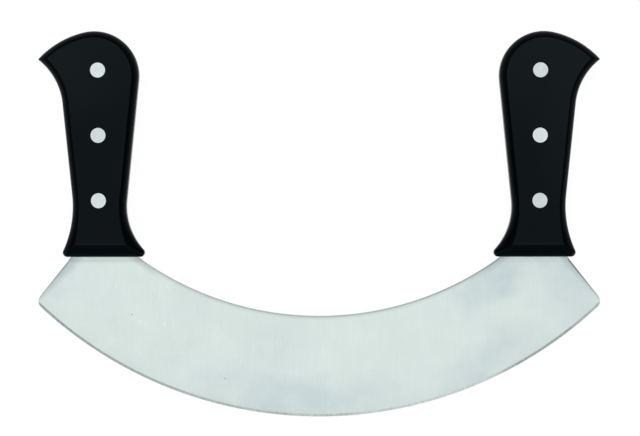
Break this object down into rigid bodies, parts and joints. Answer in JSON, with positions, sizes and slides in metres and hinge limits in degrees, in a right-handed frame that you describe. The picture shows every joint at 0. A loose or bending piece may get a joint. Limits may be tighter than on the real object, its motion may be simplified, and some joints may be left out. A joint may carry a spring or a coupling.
{
  "type": "mezzaluna",
  "caption": "Single-blade rocking mincing knife: a crescent blade with a riveted upright handle at each end.",
  "frame": {"origin": "under the middle of the outline, on the plane that the faces of the back scales lie on", "axes": "+X along the blade's chord from tip to tip, +Y from the cutting edge to the tops of the handles, +Z square to the blade, out of its front face"},
  "size_m": [0.3, 0.2058, 0.019],
  "materials": {
    "blade_steel": "satin, fine scratches from spine to edge",
    "handle_plastic": "black moulded plastic, satin faces",
    "rivet_steel": "brushed flush with the scales"
  },
  "bodies": {
    "root": {"blade": "blade_steel", "left_front_scale": "handle_plastic", "left_back_scale": "handle_plastic", "right_front_scale": "handle_plastic", "right_back_scale": "handle_plastic", "left_bottom_rivet_post": "rivet_steel", "left_bottom_rivet_socket": "rivet_steel", "left_middle_rivet_post": "rivet_steel", "left_middle_rivet_socket": "rivet_steel", "left_top_rivet_post": "rivet_steel", "left_top_rivet_socket": "rivet_steel", "right_bottom_rivet_post": "rivet_steel", "right_bottom_rivet_socket": "rivet_steel", "right_middle_rivet_post": "rivet_steel", "right_middle_rivet_socket": "rivet_steel", "right_top_rivet_post": "rivet_steel", "right_top_rivet_socket": "rivet_steel"}
  },
  "joints": []
}
